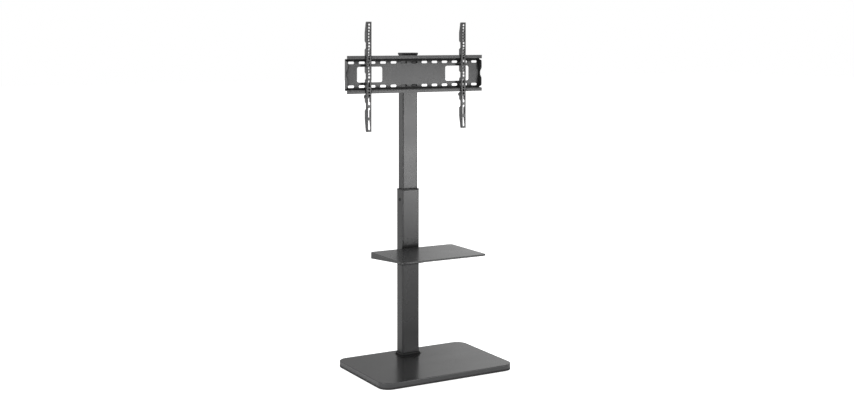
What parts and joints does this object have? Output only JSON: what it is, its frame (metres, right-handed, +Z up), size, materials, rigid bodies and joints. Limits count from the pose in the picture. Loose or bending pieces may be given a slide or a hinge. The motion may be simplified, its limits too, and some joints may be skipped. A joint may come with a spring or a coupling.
{
  "type": "tv stand with mount",
  "caption": "Floor stand for a television: round-cornered base board, telescopic rectangular post with a tray shelf, and a slotted mount plate with two sliding hook-on arms.",
  "frame": {"origin": "on the floor, under the middle of the base board, at the underside of the rubber pads", "axes": "+X to the right seen from the front, +Y to the back (the television hangs on the -Y side), +Z up along the post"},
  "size_m": [0.636, 0.42, 1.412],
  "materials": {
    "board": "satin charcoal foil on fibreboard",
    "coated_steel": "satin charcoal powder coat",
    "black_plastic": "fine matt moulded",
    "black_steel": "black oxide",
    "zinc_steel": "zinc plated",
    "rubber": "matt"
  },
  "bodies": {
    "stand": {"base_board": "board", "base_pads": "rubber", "foot_bolts": "zinc_steel", "foot_washers": "zinc_steel", "foot_plate": "coated_steel", "foot_collar": "black_plastic", "lower_tube": "coated_steel", "guide_bushing": "black_plastic", "lock_insert": "zinc_steel", "shelf_tray": "coated_steel", "tray_studs": "zinc_steel", "tray_nuts": "zinc_steel", "shelf_bracket": "coated_steel", "shelf_strap": "coated_steel", "clamp_bolts": "black_steel", "clamp_nuts": "black_steel"},
    "mast": {"upper_tube": "coated_steel", "glide_shoe": "black_plastic", "top_cap": "black_plastic", "saddle_bracket": "coated_steel", "cross_bolts": "black_steel", "cross_washers": "black_steel", "cross_nuts": "black_steel", "mount_plate": "coated_steel", "plate_studs": "zinc_steel", "plate_nuts": "zinc_steel"},
    "lock_screw": {"lock_screw": "black_steel"},
    "left_arm": {"left_arm": "coated_steel", "left_latch_pin": "zinc_steel"},
    "right_arm": {"right_arm": "coated_steel", "right_latch_pin": "zinc_steel"},
    "left_latch": {"left_latch": "black_plastic"},
    "right_latch": {"right_latch": "black_plastic"}
  },
  "joints": [
    {"name": "post_slide", "type": "slide", "parent": "stand", "child": "mast", "axis": [0, 0, 1], "range_m": [-0.25, 0.1]},
    {"name": "lock_turn", "type": "hinge", "parent": "stand", "child": "lock_screw", "pos_m": [-0.04, 0.142, 0.673], "axis": [-1, 0, 0], "range_deg": [0, 720]},
    {"name": "left_arm_slide", "type": "slide", "parent": "mast", "child": "left_arm", "axis": [1, 0, 0], "range_m": [-0.077, 0.173]},
    {"name": "right_arm_slide", "type": "slide", "parent": "mast", "child": "right_arm", "axis": [1, 0, 0], "range_m": [-0.173, 0.077]},
    {"name": "left_latch_swing", "type": "hinge", "parent": "left_arm", "child": "left_latch", "pos_m": [-0.223, 0.0725, 1.1105], "axis": [-1, 0, 0], "range_deg": [0, 75], "stiffness_Nm_per_rad": 0.05, "springref_deg": -11.46},
    {"name": "right_latch_swing", "type": "hinge", "parent": "right_arm", "child": "right_latch", "pos_m": [0.223, 0.0725, 1.1105], "axis": [-1, 0, 0], "range_deg": [0, 75], "stiffness_Nm_per_rad": 0.05, "springref_deg": -11.46}
  ]
}
